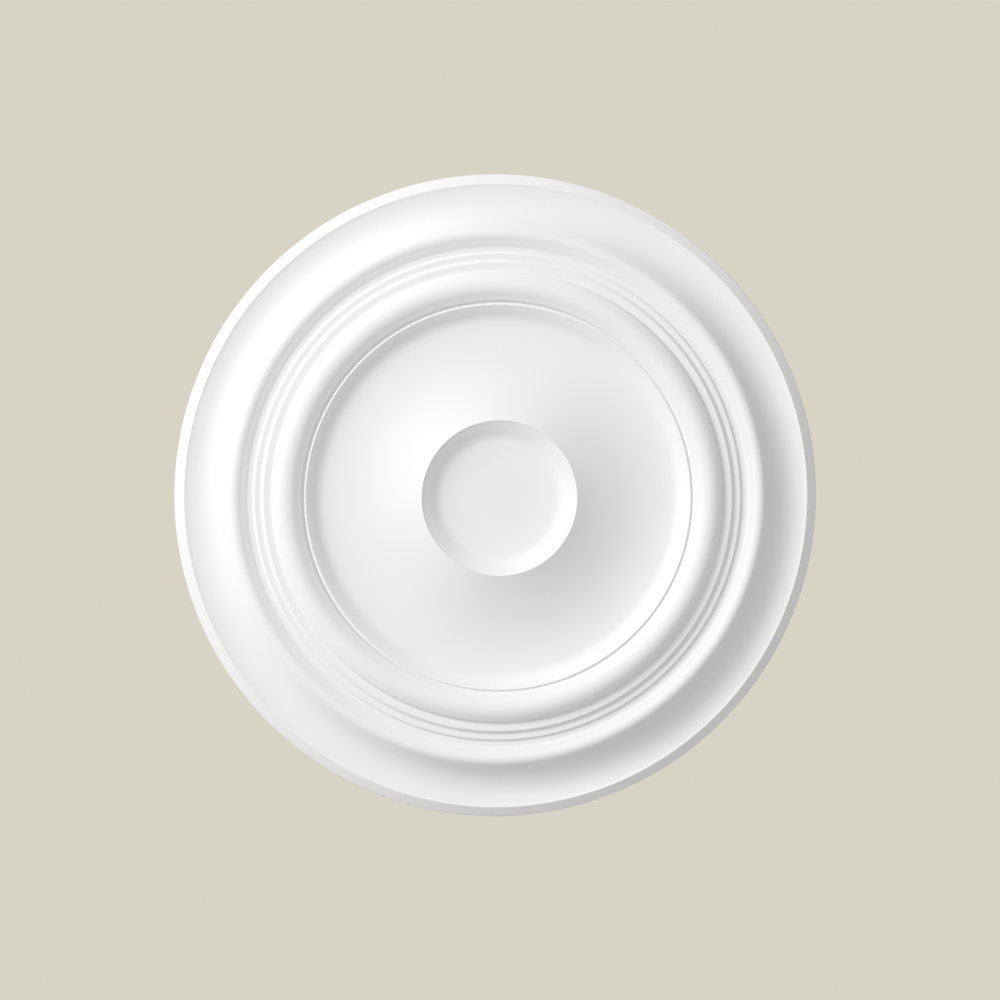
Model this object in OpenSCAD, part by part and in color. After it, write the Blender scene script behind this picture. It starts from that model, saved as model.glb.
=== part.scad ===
// Ceiling rose: one round moulding, the same all the way round, shown as it hangs.
// The flat back lies on the ceiling at z = 0 and the mouldings hang down below it.
// The face is a chain of bands. Each band has a width across the face and a slope
// at its inner and its outer side, and between the two slopes it is one true arc.
// A slope is positive where the face leaves the ceiling as it goes outward.

/* [Overall] */
// Diameter of the whole rose
rose_d = 400; // [320:5:600]
// Height of the plain upright edge against the ceiling
edge_h = 3.2; // [2:0.1:8]

/* [Rim] */
// Width of the rounding between the plain edge and the band inside it
edge_round_w = 0.8; // [0.4:0.1:1.5]
// Slope of the rounding where it meets the plain edge
edge_round_a = 72; // [60:1:88]
// Width of the sloping band round the outside
bevel_w = 5.7; // [3:0.1:10]
// Slope of that band, in degrees
bevel_a = 34.5; // [20:0.5:46]
// Width of the outer part of the lip, next to its sharp edge
lip_edge_w = 1.8; // [0.8:0.1:4]
// Slope of the lip at its sharp edge
lip_edge_a = 18; // [10:0.5:26]
// Width of the lip from the lowest line of the hollow to its outer part
lip_w = 5.1; // [2:0.1:9]
// Slope where the two parts of the lip meet
lip_a = 6.5; // [3:0.5:9]
// Width of the hollow, from its lowest line in to the straight flank
cove_w = 16.5; // [10:0.1:24]
// Slope of the straight flank
flank_a = 45; // [30:0.5:54]
// Width of the straight flank
flank_w = 4.5; // [2:0.1:8]
// Width of the rounded crest outside its highest line
crest_out_w = 4; // [2:0.1:8]
// Width of the rounded crest inside its highest line
crest_in_w = 2.8; // [1:0.1:5]

/* [Ogee] */
// Steepest slope of the small ogee inside the crest
ogee_a = 23; // [16:0.5:30]
// Slope halfway down the ogee, where it eases
ogee_ease_a = 13; // [6:0.5:16]
// Width of the ogee's hollow half
ogee_hollow_w = 1.6; // [1:0.1:4]
// Width of the ogee's rounded half
ogee_round_w = 2.4; // [1:0.1:4]
// Width of the fillet at the foot of the ogee
ogee_foot_w = 1.3; // [0.4:0.1:3]

/* [Steps] */
// Width of the flat at the foot of the ogee
valley_w = 2.05; // [1:0.05:5]
// Width of the outer riser's straight side
outer_riser_w = 0.9; // [0.6:0.1:3]
// Width of the flat between the two risers
tread_w = 2.9; // [1:0.1:5]
// Width of the inner riser's straight side
inner_riser_w = 1.5; // [0.6:0.1:4]
// Slope of both risers
riser_a = 47; // [36:0.5:62]
// Width of the rounded arris at a riser's upper edge
riser_round_w = 0.4; // [0.3:0.1:1]
// Width of the fillet at a riser's foot
riser_hollow_w = 0.7; // [0.3:0.1:2]
// Width of the flat between the inner riser and the roll
band_w = 3.85; // [1:0.05:6]

/* [Roll] */
// Width of the fillet at the foot of the roll
foot_w = 0.9; // [0.6:0.1:3]
// Slope at the upper side of that fillet
foot_a = 44; // [30:0.5:53]
// Width of the small steep step above that fillet
foot_step_w = 1.4; // [0.8:0.1:3]
// Slope of the small step
foot_step_a = 56; // [40:0.5:68]
// Width of the roll's straight outer side
roll_side_w = 2; // [0.6:0.1:3]
// Slope of that straight side
roll_side_a = 34; // [28:0.5:44]
// Slope at the outer side of the rounded top
roll_out_a = 34; // [28:0.5:42]
// Width of the rounded top outside its highest line
roll_out_w = 6.1; // [4:0.1:10]
// Width of the rounded top inside its highest line
roll_in_w = 5; // [4:0.1:9]
// Slope at the inner side of the rounded top
roll_in_a = 26; // [20:0.5:34]
// Width of the roll's inner side, slightly hollow
roll_slope_w = 3.5; // [1:0.1:6]
// Slope of that side at the groove
roll_foot_a = 20; // [12:0.5:24]

/* [Groove] */
// Width of the groove's steep side, below the roll
groove_in_w = 1.45; // [1:0.05:3]
// Slope of the steep side
groove_in_a = 49; // [38:0.5:60]
// Width of the groove's short side, towards the field
groove_out_w = 1.4; // [0.6:0.1:2]
// Slope of the short side
groove_out_a = 38; // [25:0.5:50]

/* [Field] */
// Width of the bank inside the groove, slightly rounded
bank_w = 5.35; // [2:0.05:8]
// Slope at the foot of the bank
bank_a = 31; // [24:0.5:38]
// Slope at the top of the bank
bank_top_a = 25; // [16:0.5:30]
// Width of the curve at the foot of the bank
bank_foot_w = 5.5; // [3:0.1:10]
// Width of the shallow rise from the field's lowest line out to that curve
shallow_w = 5.8; // [3:0.1:10]
// Slope at the outer side of the shallow rise
shallow_a = 5.5; // [3:0.5:12]
// Share of the sweep, from its lowest line in to the centre, that is its upper part
sweep_share = 0.46; // [0.3:0.01:0.7]
// Slope where the two parts of the sweep meet
sweep_a = 15.5; // [10:0.5:19]
// Slope of the sweep at the rim of the centre
sweep_top_a = 23.5; // [19:0.5:32]

/* [Centre] */
// Diameter of the centre at its sharp rim
centre_d = 95; // [75:0.5:120]
// Width of the steeper edge just inside the sharp rim
rim_w = 0.9; // [0.4:0.1:2]
// Slope of that edge
rim_a = 36; // [30:0.5:50]
// Width of the wall inside it, slightly rounded
wall_w = 6.6; // [5:0.1:12]
// Slope at the foot of the wall
wall_a = 29.5; // [24:0.5:36]
// Slope at the top of the wall
wall_top_a = 25; // [18:0.5:30]
// Width of the fillet at the foot of the wall
wall_foot_w = 5.6; // [3:0.1:8]
// Width of the dished part of the floor
floor_dish_w = 15.6; // [10:0.1:20]
// Slope of the dished part where it meets the fillet
floor_a = 6.5; // [3:0.5:12]

/* [Hidden] */
white = [0.93, 0.93, 0.92];
facet_a = 3;
facet_w = 3;
$fn = 240;

// A riser, from its rounded arris out to its foot: width, inner slope, outer slope
function riser(w) = [
    [riser_round_w, 0, -riser_a],
    [w, -riser_a, -riser_a],
    [riser_hollow_w, -riser_a, 0],
];

// Bands from the field's lowest line out to the edge, in the same form
outer_bands = [
    [shallow_w, 0, shallow_a],
    [bank_foot_w, shallow_a, bank_a],
    [bank_w, bank_a, bank_top_a],
    [groove_out_w, -groove_out_a, -groove_out_a],
    [groove_in_w, groove_in_a, groove_in_a],
    [roll_slope_w, roll_foot_a, roll_in_a],
    [roll_in_w, roll_in_a, 0],
    [roll_out_w, 0, -roll_out_a],
    [roll_side_w, -roll_side_a, -roll_side_a],
    [foot_step_w, -foot_step_a, -foot_step_a],
    [foot_w, -foot_a, 0],
    [band_w, 0, 0],
    each riser(inner_riser_w),
    [tread_w, 0, 0],
    each riser(outer_riser_w),
    [valley_w, 0, 0],
    [ogee_foot_w, 0, ogee_a],
    [ogee_round_w, ogee_a, ogee_ease_a],
    [ogee_hollow_w, ogee_ease_a, ogee_a],
    [crest_in_w, ogee_a, 0],
    [crest_out_w, 0, -flank_a],
    [flank_w, -flank_a, -flank_a],
    [cove_w, -flank_a, 0],
    [lip_w, 0, lip_a],
    [lip_edge_w, lip_a, lip_edge_a],
    [bevel_w, -bevel_a, -bevel_a],
    [edge_round_w, -bevel_a, -edge_round_a],
];

// The sweep takes what the outer bands and the centre leave of the radius
centre_r = centre_d / 2;
sweep_w = rose_d / 2 - centre_r - sum([for (b = outer_bands) b[0]]);
sweep_top_w = sweep_w * sweep_share;
floor_r = centre_r - rim_w - wall_w - wall_foot_w - floor_dish_w;

// Bands from the middle out to the field's lowest line
inner_bands = [
    [floor_r, 0, 0],
    [floor_dish_w, 0, floor_a],
    [wall_foot_w, floor_a, wall_a],
    [wall_w, wall_a, wall_top_a],
    [rim_w, rim_a, rim_a],
    [sweep_top_w, -sweep_top_a, -sweep_a],
    [sweep_w - sweep_top_w, -sweep_a, 0],
];

bands = concat(inner_bands, outer_bands);
last = len(bands) - 1;

// Total of the numbers in a list, from entry i on
function sum(v, i = 0) = i < len(v) ? v[i] + sum(v, i + 1) : 0;

// Radius of a band's arc: positive in a hollow, negative on a round
function arc_r(b) = b[0] / (sin(b[2]) - sin(b[1]));

// Step out and up from a band's inner side to the place where its slope is a
function along(b, a) = arc_r(b) * [sin(a) - sin(b[1]), cos(a) - cos(b[1])];

// Step out and up across a whole band
function across(b) = b[1] == b[2] ? [b[0], -b[0] * tan(b[1])] : along(b, b[2]);

// Inner side of band i, worked back from the top of the plain edge
function start(i) = [rose_d / 2, -edge_h] - sum_points([for (k = [i:1:last]) across(bands[k])]);

// Total of the points in a list
function sum_points(v) = [sum([for (p = v) p[0]]), sum([for (p = v) p[1]])];

// Number of straight facets that stand for a band's arc
function facets(b) =
    b[1] == b[2] ? 1 : ceil(max(abs(b[2] - b[1]) / facet_a, b[0] / facet_w));

// Points of band i, its inner side first and its outer side left to the next band
function band_points(i) = let (b = bands[i], n = facets(b))
    [for (k = [0:n - 1]) k == 0 ? start(i) : start(i) + along(b, b[1] + (b[2] - b[1]) * k / n)];

// Half of the section through the middle, from the axis out to the edge
module half_section() {
    face = [for (i = [0:last]) each band_points(i)];
    rim = [[rose_d / 2, -edge_h], [rose_d / 2, 0]];
    polygon(concat([[0, 0]], face, rim));
}

module rose() {
    color(white) rotate_extrude() half_section();
}

rose();
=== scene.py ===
"""Looks of a round moulded ceiling rose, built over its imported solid.

The rose hangs face down: its flat back lies on the ceiling at z = 0, and the mouldings
hang below it round the Z axis. Sizes are in millimetres where a name ends in _mm or a
class says so, and in metres everywhere else.
"""

import logging
import math
from dataclasses import dataclass

import bpy
import numpy as np
from mathutils import Matrix, Vector


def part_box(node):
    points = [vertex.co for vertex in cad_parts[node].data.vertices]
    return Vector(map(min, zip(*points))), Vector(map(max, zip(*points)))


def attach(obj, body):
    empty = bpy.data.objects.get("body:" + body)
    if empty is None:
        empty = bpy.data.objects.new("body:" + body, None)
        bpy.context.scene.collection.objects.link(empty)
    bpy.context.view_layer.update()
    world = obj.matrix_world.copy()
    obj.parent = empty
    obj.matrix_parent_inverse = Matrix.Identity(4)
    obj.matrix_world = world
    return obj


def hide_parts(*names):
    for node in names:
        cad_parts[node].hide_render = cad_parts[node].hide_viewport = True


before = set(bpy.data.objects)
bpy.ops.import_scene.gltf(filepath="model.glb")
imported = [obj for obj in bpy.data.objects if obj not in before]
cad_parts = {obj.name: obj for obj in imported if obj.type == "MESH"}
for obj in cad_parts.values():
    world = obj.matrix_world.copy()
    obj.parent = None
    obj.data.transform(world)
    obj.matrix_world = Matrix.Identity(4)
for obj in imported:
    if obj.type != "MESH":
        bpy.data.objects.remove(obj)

LOG = logging.getLogger("ceiling_rose")
MM = 0.001
Colour = tuple[float, float, float]


@dataclass(frozen=True)
class Band:
    """One ring of the face, seen in section. Sizes in millimetres and degrees.

    A slope is positive where the face leaves the ceiling as it goes outward. Between the
    slopes of its two sides a band is one circular arc, or straight where they are equal.

    Attributes:
        width: Width of the band across the face.
        inner: Slope at its inner side.
        outer: Slope at its outer side.
    """

    width: float
    inner: float
    outer: float

    def points(self, count: int = 48) -> np.ndarray:
        """Places along the band, measured from its inner side.

        An arc has radius width / (sin outer - sin inner). Where its slope is a, it has
        gone out by radius * (sin a - sin inner) and up by radius * (cos a - cos inner).

        Args:
            count: Number of equal steps in slope, or in width on a straight band.

        Returns:
            Array of count + 1 rows: distance outward, height.
        """
        steps = np.linspace(0.0, 1.0, count + 1)
        first, second = math.radians(self.inner), math.radians(self.outer)
        if abs(second - first) < 1e-9:
            out = steps * self.width
            return np.column_stack([out, -out * math.tan(first)])
        radius = self.width / (math.sin(second) - math.sin(first))
        slope = first + (second - first) * steps
        return radius * np.column_stack(
            [np.sin(slope) - math.sin(first), np.cos(slope) - math.cos(first)]
        )


@dataclass(frozen=True)
class RoseSizes:
    """Named sizes of the rose, in millimetres and degrees, ring by ring from the edge in."""

    rose_d: float = 400.0
    edge_h: float = 3.2
    edge_round_w: float = 0.8
    edge_round_a: float = 72.0
    bevel_w: float = 5.7
    bevel_a: float = 34.5
    lip_edge_w: float = 1.8
    lip_edge_a: float = 18.0
    lip_w: float = 5.1
    lip_a: float = 6.5
    cove_w: float = 16.5
    flank_a: float = 45.0
    flank_w: float = 4.5
    crest_out_w: float = 4.0
    crest_in_w: float = 2.8
    ogee_a: float = 23.0
    ogee_ease_a: float = 13.0
    ogee_hollow_w: float = 1.6
    ogee_round_w: float = 2.4
    ogee_foot_w: float = 1.3
    valley_w: float = 2.05
    riser_a: float = 47.0
    riser_round_w: float = 0.4
    riser_hollow_w: float = 0.7
    outer_riser_w: float = 0.9
    tread_w: float = 2.9
    inner_riser_w: float = 1.5
    band_w: float = 3.85
    foot_w: float = 0.9
    foot_a: float = 44.0
    foot_step_w: float = 1.4
    foot_step_a: float = 56.0
    roll_side_w: float = 2.0
    roll_side_a: float = 34.0
    roll_out_a: float = 34.0
    roll_out_w: float = 6.1
    roll_in_w: float = 5.0
    roll_in_a: float = 26.0
    roll_foot_a: float = 20.0
    roll_slope_w: float = 3.5
    groove_in_w: float = 1.45
    groove_in_a: float = 49.0
    groove_out_w: float = 1.4
    groove_out_a: float = 38.0
    bank_w: float = 5.35
    bank_a: float = 31.0
    bank_top_a: float = 25.0
    bank_foot_w: float = 5.5
    shallow_w: float = 5.8
    shallow_a: float = 5.5
    sweep_share: float = 0.46
    sweep_a: float = 15.5
    sweep_top_a: float = 23.5
    centre_d: float = 95.0
    rim_w: float = 0.9
    rim_a: float = 36.0
    wall_w: float = 6.6
    wall_a: float = 29.5
    wall_top_a: float = 25.0
    wall_foot_w: float = 5.6
    floor_dish_w: float = 15.6
    floor_a: float = 6.5

    def outer_bands(self) -> list[Band]:
        """Lists the outer part of the face.

        Returns:
            The bands from the field's lowest line out to the plain edge.
        """
        return [
            Band(self.shallow_w, 0, self.shallow_a),
            Band(self.bank_foot_w, self.shallow_a, self.bank_a),
            Band(self.bank_w, self.bank_a, self.bank_top_a),
            Band(self.groove_out_w, -self.groove_out_a, -self.groove_out_a),
            Band(self.groove_in_w, self.groove_in_a, self.groove_in_a),
            Band(self.roll_slope_w, self.roll_foot_a, self.roll_in_a),
            Band(self.roll_in_w, self.roll_in_a, 0),
            Band(self.roll_out_w, 0, -self.roll_out_a),
            Band(self.roll_side_w, -self.roll_side_a, -self.roll_side_a),
            Band(self.foot_step_w, -self.foot_step_a, -self.foot_step_a),
            Band(self.foot_w, -self.foot_a, 0),
            Band(self.band_w, 0, 0),
            *self.riser(self.inner_riser_w),
            Band(self.tread_w, 0, 0),
            *self.riser(self.outer_riser_w),
            Band(self.valley_w, 0, 0),
            Band(self.ogee_foot_w, 0, self.ogee_a),
            Band(self.ogee_round_w, self.ogee_a, self.ogee_ease_a),
            Band(self.ogee_hollow_w, self.ogee_ease_a, self.ogee_a),
            Band(self.crest_in_w, self.ogee_a, 0),
            Band(self.crest_out_w, 0, -self.flank_a),
            Band(self.flank_w, -self.flank_a, -self.flank_a),
            Band(self.cove_w, -self.flank_a, 0),
            Band(self.lip_w, 0, self.lip_a),
            Band(self.lip_edge_w, self.lip_a, self.lip_edge_a),
            Band(self.bevel_w, -self.bevel_a, -self.bevel_a),
            Band(self.edge_round_w, -self.bevel_a, -self.edge_round_a),
        ]

    def riser(self, width: float) -> list[Band]:
        """A small step down to the next tread: rounded arris, straight side, hollow foot.

        Args:
            width: Width of the straight side.

        Returns:
            The three bands.
        """
        return [
            Band(self.riser_round_w, 0, -self.riser_a),
            Band(width, -self.riser_a, -self.riser_a),
            Band(self.riser_hollow_w, -self.riser_a, 0),
        ]

    def bands(self) -> list[Band]:
        """Lists the whole face. The sweep takes what the other bands leave of the radius.

        Returns:
            All bands, from the middle out.
        """
        outer = self.outer_bands()
        centre_r = self.centre_d / 2
        sweep_w = self.rose_d / 2 - centre_r - sum(band.width for band in outer)
        top_w = sweep_w * self.sweep_share
        floor_r = centre_r - self.rim_w - self.wall_w - self.wall_foot_w - self.floor_dish_w
        return [
            Band(floor_r, 0, 0),
            Band(self.floor_dish_w, 0, self.floor_a),
            Band(self.wall_foot_w, self.floor_a, self.wall_a),
            Band(self.wall_w, self.wall_a, self.wall_top_a),
            Band(self.rim_w, self.rim_a, self.rim_a),
            Band(top_w, -self.sweep_top_a, -self.sweep_a),
            Band(sweep_w - top_w, -self.sweep_a, 0),
            *outer,
        ]


@dataclass(frozen=True)
class Section:
    """Half of the rose's section, with its arrises slightly worn round. Millimetres.

    Attributes:
        sizes: Sizes of the rings.
        softness: Standard deviation of the rounding, along the section.
        step: Spacing of the working points along the section.
    """

    sizes: RoseSizes
    softness: float = 0.1
    step: float = 0.025

    def outline(self) -> np.ndarray:
        """The sharp outline: middle of the face, out to the edge, up, and back in.

        Returns:
            Array of rows: distance from the axis, height.
        """
        runs = [band.points() for band in self.sizes.bands()]
        face = [np.zeros((1, 2))]
        for run in runs:
            face.append(face[-1][-1] + run[1:])
        line = np.vstack(face)
        corner = np.array([self.sizes.rose_d / 2, -self.sizes.edge_h])
        line += corner - line[-1]
        back = np.array([[corner[0], 0.0], [0.0, 0.0]])
        return np.vstack([line, back])

    def even(self, line: np.ndarray) -> np.ndarray:
        """The outline again, as points one step apart along its length.

        Args:
            line: Rows of distance and height.

        Returns:
            Rows of distance and height, evenly spaced.
        """
        run = np.concatenate([[0.0], np.cumsum(np.hypot(*np.diff(line, axis=0).T))])
        places = np.arange(0.0, run[-1], self.step)
        return np.column_stack([np.interp(places, run, line[:, k]) for k in (0, 1)])

    def softened(self) -> np.ndarray:
        """The even outline averaged along its length with a bell-shaped weight.

        At the axis the outline goes on as its own mirror image, so that it stays level there.

        Returns:
            Rows of distance and height.
        """
        line = self.even(self.outline())
        reach = int(4 * self.softness / self.step)
        bell = np.exp(-0.5 * (np.arange(-reach, reach + 1) * self.step / self.softness) ** 2)
        bell /= bell.sum()
        flip = np.array([-1.0, 1.0])
        before, after = line[reach:0:-1] * flip, line[-2 : -reach - 2 : -1] * flip
        longer = np.vstack([before, line, after])
        soft = np.column_stack([np.convolve(longer[:, k], bell, "valid") for k in (0, 1)])
        soft[[0, -1], 0] = 0.0
        return soft

    def rings(self, count: int) -> np.ndarray:
        """Picks where the rings of the mesh go: close together where the section turns.

        The crowding at each place is one over the widest spacing, plus the turn for each
        millimetre over the widest turn. Rings stand at equal steps of its running total.

        Args:
            count: Number of rings.

        Returns:
            count rows of distance and height, the first and last on the axis.
        """
        line = self.softened()
        along = np.gradient(line, axis=0)
        heading = np.unwrap(np.arctan2(along[:, 1], along[:, 0]))
        turn = np.abs(np.gradient(heading)) / self.step
        on_back = (line[:, 1] > -0.01) & (line[:, 0] < line[:, 0].max() - 2.0)
        crowding = np.where(on_back, 1 / 14.0, 1 / 2.2) + turn / math.radians(6.0)
        total = np.concatenate([[0.0], np.cumsum((crowding[1:] + crowding[:-1]) / 2)])
        wanted = np.linspace(0.0, total[-1], count)
        return np.column_stack([np.interp(wanted, total, line[:, k]) for k in (0, 1)])


class Surface:
    """A closed surface: a section carried once round the Z axis.

    Attributes:
        points: Places of the points, ring after ring, then the two middles.
        rings: Number of rings.
        around: Number of points round each ring.
    """

    def __init__(self, section: np.ndarray, around: int) -> None:
        """Works out the grid of points.

        A ring at distance r and height h has its points at (r cos t, r sin t, h), with t in
        equal steps round the circle. The first and last rings close to a single point each.

        Args:
            section: Rows of distance and height in metres, from the face's middle round the
                edge to the back's middle.
            around: Number of points round each ring.
        """
        rings = section[1:-1]
        turn = np.arange(around) * (2 * math.pi / around)
        x = rings[:, :1] * np.cos(turn)
        y = rings[:, :1] * np.sin(turn)
        z = np.repeat(rings[:, 1:], around, axis=1)
        grid = np.stack([x, y, z], axis=-1).reshape(-1, 3)
        ends = np.array([[0.0, 0.0, section[0, 1]], [0.0, 0.0, section[-1, 1]]])
        self.points = np.vstack([grid, ends])
        self.rings = len(rings)
        self.around = around

    def faces(self) -> tuple[np.ndarray, np.ndarray]:
        """The four-sided faces between rings, and the fans that close the two middles.

        Returns:
            Rows of four point numbers, and rows of three point numbers.
        """
        here = np.arange(self.around)
        there = (here + 1) % self.around
        base = (np.arange(self.rings - 1) * self.around)[:, None]
        quads = np.stack(
            [base + here, base + there, base + self.around + there, base + self.around + here],
            axis=-1,
        ).reshape(-1, 4)
        first, last = self.rings * self.around, self.rings * self.around + 1
        top = (self.rings - 1) * self.around
        fans = np.vstack(
            [
                np.column_stack([np.full(self.around, first), there, here]),
                np.column_stack([np.full(self.around, last), top + here, top + there]),
            ]
        )
        return quads, fans

    def mesh(self, name: str) -> bpy.types.Mesh:
        """Puts the points and faces into a smooth-shaded mesh.

        Args:
            name: Name of the mesh.

        Returns:
            The mesh.
        """
        quads, fans = self.faces()
        corners = np.concatenate([quads.ravel(), fans.ravel()]).astype(np.int32)
        sizes = np.concatenate([np.full(len(quads), 4), np.full(len(fans), 3)]).astype(np.int32)
        starts = np.concatenate([[0], np.cumsum(sizes)[:-1]]).astype(np.int32)
        mesh = bpy.data.meshes.new(name)
        mesh.vertices.add(len(self.points))
        mesh.vertices.foreach_set("co", self.points.astype(np.float32).ravel())
        mesh.loops.add(len(corners))
        mesh.loops.foreach_set("vertex_index", corners)
        mesh.polygons.add(len(sizes))
        mesh.polygons.foreach_set("loop_start", starts)
        mesh.update(calc_edges=True)
        mesh.validate()
        mesh.polygons.foreach_set("use_smooth", np.ones(len(sizes), dtype=bool))
        return mesh


class Sheet:
    """A node sheet, with short ways to lay nodes on it.

    Attributes:
        tree: Blender's node tree.
    """

    def __init__(self, holder: bpy.types.Material | bpy.types.World) -> None:
        """Starts the sheet as Blender lays it out, with its own shader.

        Args:
            holder: Material or world that the sheet belongs to.
        """
        holder.use_nodes = True
        self.tree = holder.node_tree

    def node(self, kind: str, settings: dict | None = None, **inputs: object) -> bpy.types.Node:
        """Adds a node.

        Args:
            kind: Blender's name of the node type.
            settings: Properties to set on the node.
            **inputs: Sockets by name, underscores for spaces: a socket to link, or a value.

        Returns:
            The node.
        """
        made = self.tree.nodes.new(kind)
        for key, value in (settings or {}).items():
            setattr(made, key, value)
        for key, value in inputs.items():
            self.feed(made.inputs[key.replace("_", " ")], value)
        return made

    def own(self, name: str) -> bpy.types.Node:
        """A node that was on the sheet from the start, by name."""
        return self.tree.nodes[name]

    def feed(self, socket: bpy.types.NodeSocket, value: object) -> None:
        """Links a socket to another, or sets its value.

        Args:
            socket: Socket to feed.
            value: Another node's output, or a value.
        """
        if isinstance(value, bpy.types.NodeSocket):
            self.tree.links.new(value, socket)
        else:
            socket.default_value = value

    def maths(self, operation: str, *values: object) -> bpy.types.NodeSocket:
        """Adds a Math node.

        Args:
            operation: Blender's name of the operation.
            *values: Sockets to link, or numbers, in the node's order.

        Returns:
            The node's result.
        """
        made = self.node("ShaderNodeMath", {"operation": operation})
        for socket, value in zip(made.inputs, values):
            self.feed(socket, value)
        return made.outputs[0]

    def place(self) -> bpy.types.NodeSocket:
        """Adds the place on the object, in metres."""
        return self.node("ShaderNodeTexCoord").outputs["Object"]

    def looked_at(self) -> bpy.types.NodeSocket:
        """Tells being looked at, straight or in gloss or glass, from giving light.

        Returns:
            One where the eye looks, nought where the surface only lights others.
        """
        path = self.node("ShaderNodeLightPath").outputs
        looked = self.maths("MAXIMUM", path["Is Camera Ray"], path["Is Glossy Ray"])
        return self.maths("MAXIMUM", looked, path["Is Transmission Ray"])

    def noise(
        self,
        place: bpy.types.NodeSocket,
        scale: float,
        detail: float = 2.0,
        rough: float = 0.5,
    ) -> bpy.types.NodeSocket:
        """Adds smooth noise.

        Args:
            place: Place on the object.
            scale: Lumps in a metre.
            detail: Number of finer layers.
            rough: Share of the finer layers.

        Returns:
            The noise, from 0 to 1.
        """
        made = self.node(
            "ShaderNodeTexNoise",
            None,
            Vector=place,
            Scale=scale,
            Detail=detail,
            Roughness=rough,
        )
        return made.outputs["Fac"]

    def ramp(
        self, value: bpy.types.NodeSocket, low: float, high: float, to: tuple[float, float]
    ) -> bpy.types.NodeSocket:
        """Carries a range of a value smoothly onto another range.

        Args:
            value: Value to carry.
            low: Value that becomes the first of the new range.
            high: Value that becomes the second.
            to: The new range.

        Returns:
            The carried value.
        """
        made = self.node("ShaderNodeMapRange", {"interpolation_type": "SMOOTHSTEP"}, Value=value)
        numbers = {"From Min": low, "From Max": high, "To Min": to[0], "To Max": to[1]}
        for key, number in numbers.items():
            made.inputs[key].default_value = number
        return made.outputs["Result"]

    def mix(
        self,
        share: bpy.types.NodeSocket,
        first: bpy.types.NodeSocket | Colour,
        second: bpy.types.NodeSocket | Colour,
    ) -> bpy.types.NodeSocket:
        """Mixes two colours.

        Args:
            share: How much of the second.
            first: One colour, as a socket or three numbers.
            second: The other colour, as a socket or three numbers.

        Returns:
            The mixed colour.
        """
        made = self.node("ShaderNodeMix", {"data_type": "RGBA"})
        sockets = [socket for socket in made.inputs if socket.enabled]
        for socket, value in zip(sockets, (share, first, second)):
            self.feed(socket, (*value, 1.0) if isinstance(value, tuple) else value)
        return next(socket for socket in made.outputs if socket.enabled)


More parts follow.
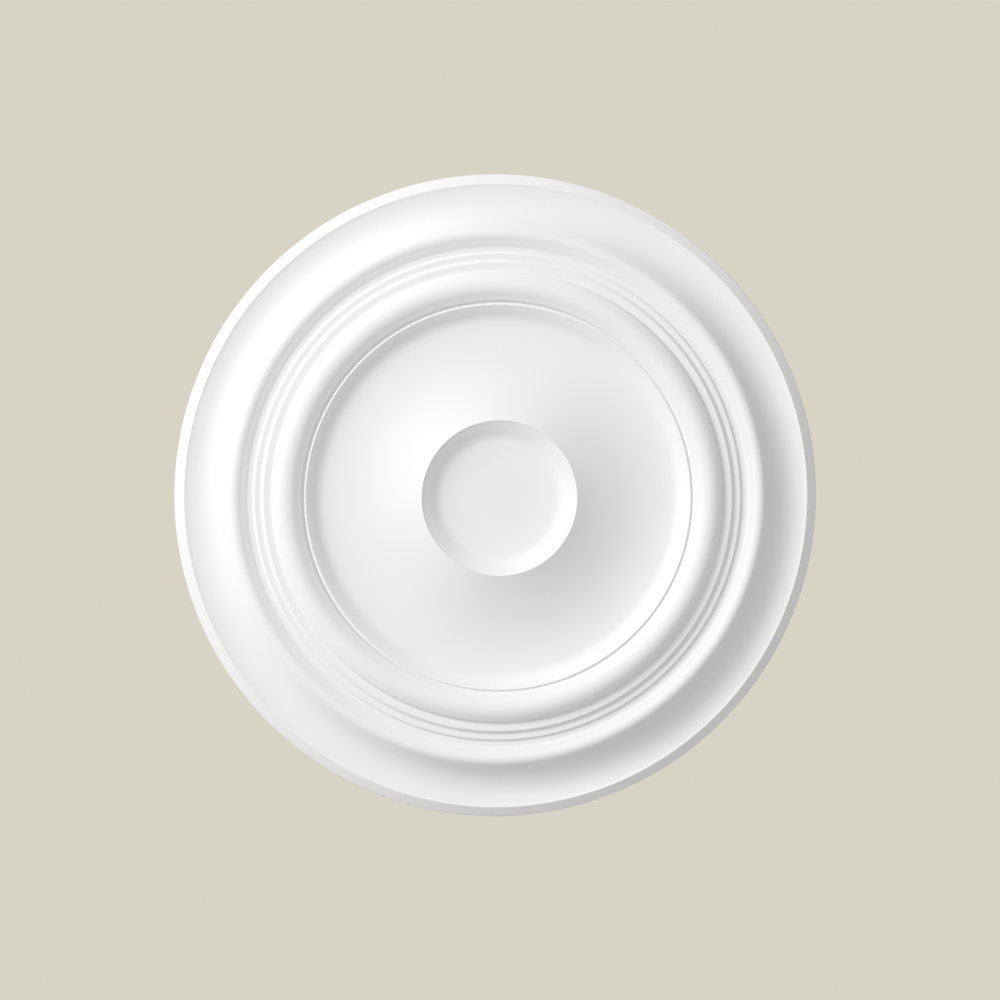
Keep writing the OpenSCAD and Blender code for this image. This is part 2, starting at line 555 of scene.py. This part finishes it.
@dataclass(frozen=True)
class PrimedFoam:
    """White primer sprayed over a rigid foam moulding, with the bare skin at the back.

    Scales are in lumps or cells a metre.

    Attributes:
        primer: Colour of the primer.
        primer_thin: Colour where the primer is a little thinner.
        skin: Colour of the bare foam skin.
        pinhole_shade: Darker colour painted into its pinholes, as the shade inside them.
        sheen: Lowest and highest roughness of the primer.
        skin_dull: How much rougher the bare skin is.
        overspray_r: Distance from the axis where the spray on the back fades out.
        overspray_w: Width over which it fades.
        overspray_drift: How far its edge wanders.
        peel_scale: Scale of the sprayed texture.
        peel_depth: Depth of that texture, in metres.
        pinhole_scale: Scale of the pinholes.
        pinhole_depth: Their depth, against the sprayed texture's.
        lump_scale: Scale of the skin's own unevenness.
        lump_depth: Its depth, against the sprayed texture's.
    """

    primer: Colour = (0.84, 0.84, 0.84)
    primer_thin: Colour = (0.825, 0.825, 0.825)
    skin: Colour = (0.74, 0.715, 0.63)
    pinhole_shade: Colour = (0.56, 0.53, 0.44)
    sheen: tuple[float, float] = (0.46, 0.55)
    skin_dull: float = 0.28
    overspray_r: float = 0.19
    overspray_w: float = 0.012
    overspray_drift: float = 0.022
    peel_scale: float = 850.0
    peel_depth: float = 0.00001
    pinhole_scale: float = 420.0
    pinhole_depth: float = 8.0
    lump_scale: float = 240.0
    lump_depth: float = 5.0

    def bare_share(self, sheet: Sheet, place: bpy.types.NodeSocket) -> bpy.types.NodeSocket:
        """One on the bare back, nought on the primer.

        The back is where the height is within half a millimetre of the ceiling. The spray
        creeps onto it from the edge, to an uneven line near overspray_r.

        Args:
            sheet: Sheet to draw on.
            place: Place on the object.

        Returns:
            The share of bare skin.
        """
        parts = sheet.node("ShaderNodeSeparateXYZ", None, Vector=place)
        level = sheet.ramp(parts.outputs["Z"], -0.0006, -0.0001, (0.0, 1.0))
        across = sheet.maths("MULTIPLY", parts.outputs["X"], parts.outputs["X"])
        along = sheet.maths("MULTIPLY", parts.outputs["Y"], parts.outputs["Y"])
        distance = sheet.maths("SQRT", sheet.maths("ADD", across, along))
        wander = sheet.noise(place, 38.0, 4.0, 0.6)
        drift = sheet.maths("MULTIPLY", wander, self.overspray_drift)
        edge = sheet.maths("ADD", distance, drift)
        end = self.overspray_r + self.overspray_w
        bare = sheet.ramp(edge, self.overspray_r, end, (1.0, 0.0))
        return sheet.maths("MULTIPLY", level, bare)

    def pinholes(self, sheet: Sheet, place: bpy.types.NodeSocket) -> bpy.types.NodeSocket:
        """Small round pinholes, in patches.

        A pinhole is the middle of a cell, and noise keeps those of some patches only.

        Args:
            sheet: Sheet to draw on.
            place: Place on the object.

        Returns:
            One in a pinhole, nought outside.
        """
        kind, scale = "ShaderNodeTexVoronoi", self.pinhole_scale
        cells = sheet.node(kind, None, Vector=place, Scale=scale, Randomness=1.0)
        holes = sheet.ramp(cells.outputs["Distance"], 0.12, 0.3, (1.0, 0.0))
        patches = sheet.ramp(sheet.noise(place, 60.0, 3.0), 0.48, 0.6, (0.0, 1.0))
        return sheet.maths("MULTIPLY", holes, patches)

    def material(self) -> bpy.types.Material:
        """Draws the finish: colour, roughness and the fine unevenness of both surfaces.

        Returns:
            The material.
        """
        material = bpy.data.materials.new("primed_foam")
        sheet = Sheet(material)
        place, shader = sheet.place(), sheet.own("Principled BSDF")
        bare, pitted = self.bare_share(sheet, place), self.pinholes(sheet, place)

        clouds = sheet.ramp(sheet.noise(place, 11.0, 3.0), 0.35, 0.65, (0.0, 1.0))
        white = sheet.mix(clouds, self.primer, self.primer_thin)
        skin = sheet.mix(pitted, self.skin, self.pinhole_shade)
        flow = sheet.ramp(sheet.noise(place, 16.0, 4.0, 0.6), 0.3, 0.7, (0.0, 0.35))
        # Pinholes get a darker colour here: painted shade inside the holes, on top of their dents
        # in the bump below.
        skin = sheet.mix(flow, skin, self.primer)
        sheet.feed(shader.inputs["Base Color"], sheet.mix(bare, white, skin))

        gloss = sheet.ramp(sheet.noise(place, 90.0, 3.0), 0.3, 0.7, self.sheen)
        dull = sheet.maths("MULTIPLY", bare, self.skin_dull)
        sheet.feed(shader.inputs["Roughness"], sheet.maths("ADD", gloss, dull))

        peel = sheet.noise(place, self.peel_scale)
        dents = sheet.maths("MULTIPLY", pitted, -self.pinhole_depth)
        lumps = sheet.maths("MULTIPLY", sheet.noise(place, self.lump_scale, 4.0), self.lump_depth)
        uneven = sheet.maths("MULTIPLY", sheet.maths("ADD", dents, lumps), bare)
        height = sheet.maths("ADD", peel, uneven)
        depth = self.peel_depth
        bump = sheet.node("ShaderNodeBump", None, Height=height, Strength=1.0, Distance=depth)
        sheet.feed(shader.inputs["Normal"], bump.outputs["Normal"])
        shader.inputs["IOR"].default_value = 1.45
        shader.inputs["Specular IOR Level"].default_value = 0.3
        return material


@dataclass
class Moulding:
    """The one moulded piece of the rose.

    Attributes:
        section: Its section.
        finish: Its finish.
        rings: Number of rings in its mesh.
        around: Number of points round each ring.
    """

    section: Section
    finish: PrimedFoam
    rings: int = 340
    around: int = 288

    def build(self, node: str) -> bpy.types.Object:
        """Builds, dresses and hangs the moulding in place of its plain solid.

        The section is drawn in to the solid's own radius, which differs from it only by
        the flatness of the solid's facets.

        Args:
            node: Name of the solid that it stands for.

        Returns:
            The moulding.
        """
        low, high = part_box(node)
        line = self.section.rings(self.rings) * MM
        reach = min(-low.x, -low.y, high.x, high.y)
        line[:, 0] *= reach / line[:, 0].max()
        mesh = Surface(line, self.around).mesh("rose_moulding")
        mesh.materials.append(self.finish.material())
        piece = bpy.data.objects.new("rose_moulding", mesh)
        bpy.context.scene.collection.objects.link(piece)
        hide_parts(node)
        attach(piece, "root")
        return piece


@dataclass(frozen=True)
class Lamp:
    """A soft lamp so far off that its light comes from one side alike all over the rose.

    Attributes:
        name: Name of the lamp.
        toward: Direction from the rose to the lamp.
        strength: Light on a surface that faces the lamp, where pi makes white look white.
        softness: Angle that the lamp fills, seen from the rose, in degrees.
    """

    name: str
    toward: tuple[float, float, float]
    strength: float
    softness: float

    def hang(self) -> bpy.types.Object:
        """Puts the lamp in the scene.

        Returns:
            The lamp.
        """
        data = bpy.data.lights.new(self.name, "SUN")
        data.energy = self.strength
        data.angle = math.radians(self.softness)
        lamp = bpy.data.objects.new(self.name, data)
        direction = Vector(self.toward).normalized()
        lamp.location = direction * 2.0
        lamp.rotation_euler = direction.to_track_quat("Z", "Y").to_euler()
        bpy.context.scene.collection.objects.link(lamp)
        return lamp


@dataclass(frozen=True)
class Studio:
    """Plain room under the rose: pale floor, pale air, soft lamps and the camera.

    Attributes:
        backdrop: Colour behind the rose.
        air: Brightness of the even light from all round.
        floor_z: Height of the floor.
        floor_r: Radius of the floor.
        floor_sides: Number of sides that make it look round.
        floor_grey: How much light the floor sends back up.
        floor_tone: Share of the backdrop's colour that makes the lit floor look like it.
        distance: Distance of the camera.
        across: Width of the view at the rose.
        lean: Angle between the view and the rose's axis, in degrees.
        side: Which way the camera stands off the axis, as shares of X and Y.
        aim: Place on the ceiling that the camera points at.
    """

    backdrop: Colour = (0.679, 0.658, 0.559)
    air: float = 0.475
    floor_z: float = -2.4
    floor_r: float = 6.77
    floor_sides: int = 96
    floor_grey: float = 0.4
    floor_tone: float = 0.972
    distance: float = 1.5
    across: float = 0.6224
    lean: float = 3.4
    side: tuple[float, float] = (0.824, 0.566)
    aim: tuple[float, float, float] = (-0.00166, -0.00208, -0.004)

    def world(self) -> None:
        """Even pale light, with the backdrop's colour where it is seen or mirrored."""
        world = bpy.data.worlds.new("room")
        bpy.context.scene.world = world
        sheet = Sheet(world)
        light = sheet.own("Background")
        light.inputs["Color"].default_value = (1.0, 1.0, 1.0, 1.0)
        light.inputs["Strength"].default_value = self.air
        seen = sheet.node("ShaderNodeBackground", None, Color=(*self.backdrop, 1.0))
        choose = sheet.node("ShaderNodeMixShader")
        parts = (sheet.looked_at(), light.outputs[0], seen.outputs[0])
        for socket, value in zip(choose.inputs, parts):
            sheet.feed(socket, value)
        sheet.feed(sheet.own("World Output").inputs["Surface"], choose.outputs[0])

    def floor_paint(self) -> bpy.types.Material:
        """The floor's paint: plain grey to the rose, the backdrop's colour to the eye.

        Returns:
            The paint.
        """
        material = bpy.data.materials.new("floor_paint")
        sheet = Sheet(material)
        seen = tuple(self.floor_tone * part for part in self.backdrop)
        colour = sheet.mix(sheet.looked_at(), (self.floor_grey,) * 3, seen)
        shader = sheet.own("Principled BSDF")
        shader.inputs["Roughness"].default_value = 1.0
        sheet.feed(shader.inputs["Base Color"], colour)
        return material

    def floor(self) -> bpy.types.Object:
        """The plain pale floor, a disc well below the rose.

        Its rim is at (r cos t, r sin t), with t in equal steps round the circle. The light
        that it sends up to the face is plain grey; its own look is the backdrop's.

        Returns:
            The floor.
        """
        sides = self.floor_sides
        turn = np.arange(sides) * (2 * math.pi / sides)
        level = np.full(sides, self.floor_z)
        rim = np.column_stack([self.floor_r * np.cos(turn), self.floor_r * np.sin(turn), level])
        mesh = bpy.data.meshes.new("floor")
        mesh.from_pydata(rim.tolist(), [], [tuple(range(sides))])
        mesh.materials.append(self.floor_paint())
        floor = bpy.data.objects.new("floor", mesh)
        floor.visible_shadow = False
        bpy.context.scene.collection.objects.link(floor)
        return floor

    def lamps(self) -> list[Lamp]:
        """The soft lamps.

        Returns:
            One on the face from the side, a weak one straight up at the face that fills the
            shadows, and one from above on the back and the floor.
        """
        return [
            Lamp("face_lamp", (0.742, 0.4635, -0.485), 2.35, 24.0),
            Lamp("fill_lamp", (0.1, 0.06, -1.0), 0.59, 30.0),
            Lamp("back_lamp", (-0.25, -0.4, 1.0), 1.9, 40.0),
        ]

    def camera(self) -> bpy.types.Object:
        """The camera below the rose, looking up, a little to one side of its axis.

        Its right hand is -X and its top is +Y. It stands off the axis by the lean.

        Returns:
            The camera.
        """
        lean = math.radians(self.lean)
        off = Vector(self.side).normalized() * math.sin(lean)
        forward = Vector((-off.x, -off.y, math.cos(lean)))
        right = forward.cross(Vector((0.0, 1.0, 0.0))).normalized()
        top = right.cross(forward)
        data = bpy.data.cameras.new("camera")
        data.sensor_width = 36.0
        data.lens = self.distance / self.across * data.sensor_width
        data.clip_start, data.clip_end = 0.05, 50.0
        camera = bpy.data.objects.new("camera", data)
        turn = Matrix((right, top, -forward)).transposed()
        place = Vector(self.aim) - forward * self.distance
        camera.matrix_world = Matrix.Translation(place) @ turn.to_4x4()
        bpy.context.scene.collection.objects.link(camera)
        bpy.context.scene.camera = camera
        return camera

    def set_up(self) -> None:
        """Builds the room, its lamps and the camera."""
        self.world()
        self.floor()
        for lamp in self.lamps():
            lamp.hang()
        self.camera()
        bpy.context.scene.view_settings.view_transform = "Standard"


def main() -> None:
    """Builds the rose and its room, and reports each piece."""
    logging.basicConfig(level=logging.INFO, format="%(name)s: %(message)s")
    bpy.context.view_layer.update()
    Studio().set_up()
    piece = Moulding(Section(RoseSizes()), PrimedFoam()).build("rose")
    points, faces = len(piece.data.vertices), len(piece.data.polygons)
    LOG.info("%s: %d points, %d faces", piece.name, points, faces)


if __name__ == "__main__":
    main()
